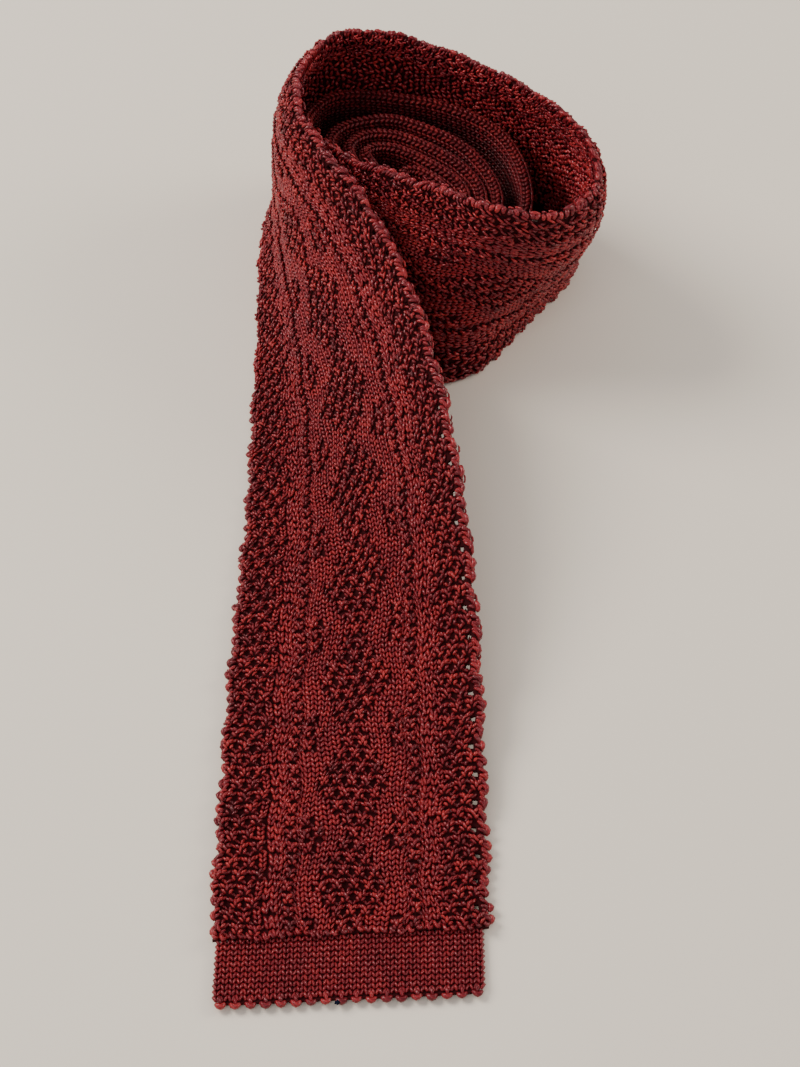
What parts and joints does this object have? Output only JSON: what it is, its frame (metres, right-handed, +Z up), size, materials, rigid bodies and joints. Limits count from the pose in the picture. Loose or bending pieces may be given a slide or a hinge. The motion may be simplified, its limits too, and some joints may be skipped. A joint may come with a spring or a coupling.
{
  "type": "knit tie",
  "caption": "Square-ended knitted necktie lying flat at its wide end, the rest wound into a coil that stands on its edge.",
  "frame": {"origin": "on the table, under the middle of the tie's box", "axes": "+Y along the tie from the hem to the coil, +X to the right seen from the hem, +Z up from the table"},
  "size_m": [0.0944, 0.2858, 0.0576],
  "materials": {
    "silk_knit_pattern": "dark red silk knit with openwork diamonds and a soft sheen",
    "silk_knit_plain": "dark red plain silk knit with a soft sheen",
    "silk_knit_hem": "dark red plain silk knit, thinner, with a looped edge"
  },
  "bodies": {
    "root": {"blade": "silk_knit_pattern", "neck_band": "silk_knit_plain", "hem_band": "silk_knit_hem"}
  },
  "joints": []
}
